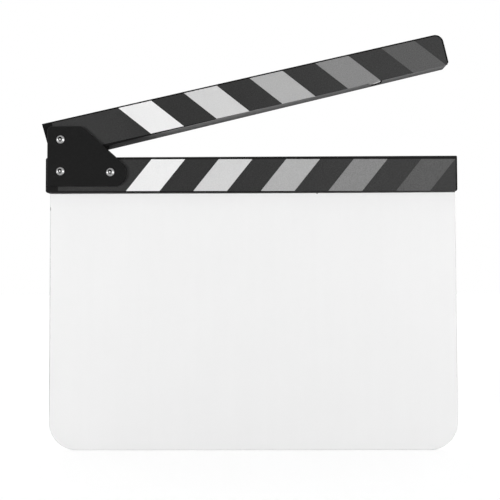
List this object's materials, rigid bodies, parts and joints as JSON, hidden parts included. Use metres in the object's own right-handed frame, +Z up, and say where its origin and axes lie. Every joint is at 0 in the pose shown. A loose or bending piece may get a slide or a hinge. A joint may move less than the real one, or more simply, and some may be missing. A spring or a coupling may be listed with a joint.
{
  "type": "clapperboard",
  "caption": "Film clapperboard: blank white writing board under a fixed striped stick, with a striped clap stick hinged at its left end and held open by the hinge's friction.",
  "frame": {"origin": "middle of the board's bottom edge, on the board's mid-plane", "axes": "+X to the right along the sticks, +Y away from the viewer through the board, +Z up from the board's bottom edge to the sticks"},
  "size_m": [0.3027, 0.0224, 0.3022],
  "materials": {
    "white_acrylic": "smooth semi-matt opal sheet, polished edges",
    "black_paint": "satin black paint over wood",
    "hinge_black": "matt black coating",
    "bright_steel": "bright plated steel",
    "label_field": "matt printed film",
    "band_white": "matt printed film",
    "band_pale_grey": "matt printed film",
    "band_light_grey": "matt printed film",
    "band_mid_grey": "matt printed film",
    "band_dark_grey": "matt printed film"
  },
  "bodies": {
    "slate": {"writing_board": "white_acrylic", "lower_stick": "black_paint", "front_hinge_plate": "hinge_black", "rear_hinge_plate": "hinge_black", "pivot_screw": "bright_steel", "pivot_sleeve_nut": "bright_steel", "left_clamp_screw": "bright_steel", "left_clamp_sleeve_nut": "bright_steel", "right_clamp_screw": "bright_steel", "right_clamp_sleeve_nut": "bright_steel", "lower_label": "label_field", "lower_band_white": "band_white", "lower_band_pale_grey": "band_pale_grey", "lower_band_light_grey": "band_light_grey", "lower_band_mid_grey": "band_mid_grey", "lower_band_dark_grey": "band_dark_grey"},
    "clap_arm": {"upper_stick": "black_paint", "upper_label": "label_field", "upper_band_white": "band_white", "upper_band_pale_grey": "band_pale_grey", "upper_band_light_grey": "band_light_grey", "upper_band_mid_grey": "band_mid_grey", "upper_band_dark_grey": "band_dark_grey"}
  },
  "joints": [
    {"name": "clap_hinge", "type": "hinge", "parent": "slate", "child": "clap_arm", "pos_m": [-0.1393, 0, 0.22625], "axis": [0, -1, 0], "range_deg": [-13.3, 76]}
  ]
}
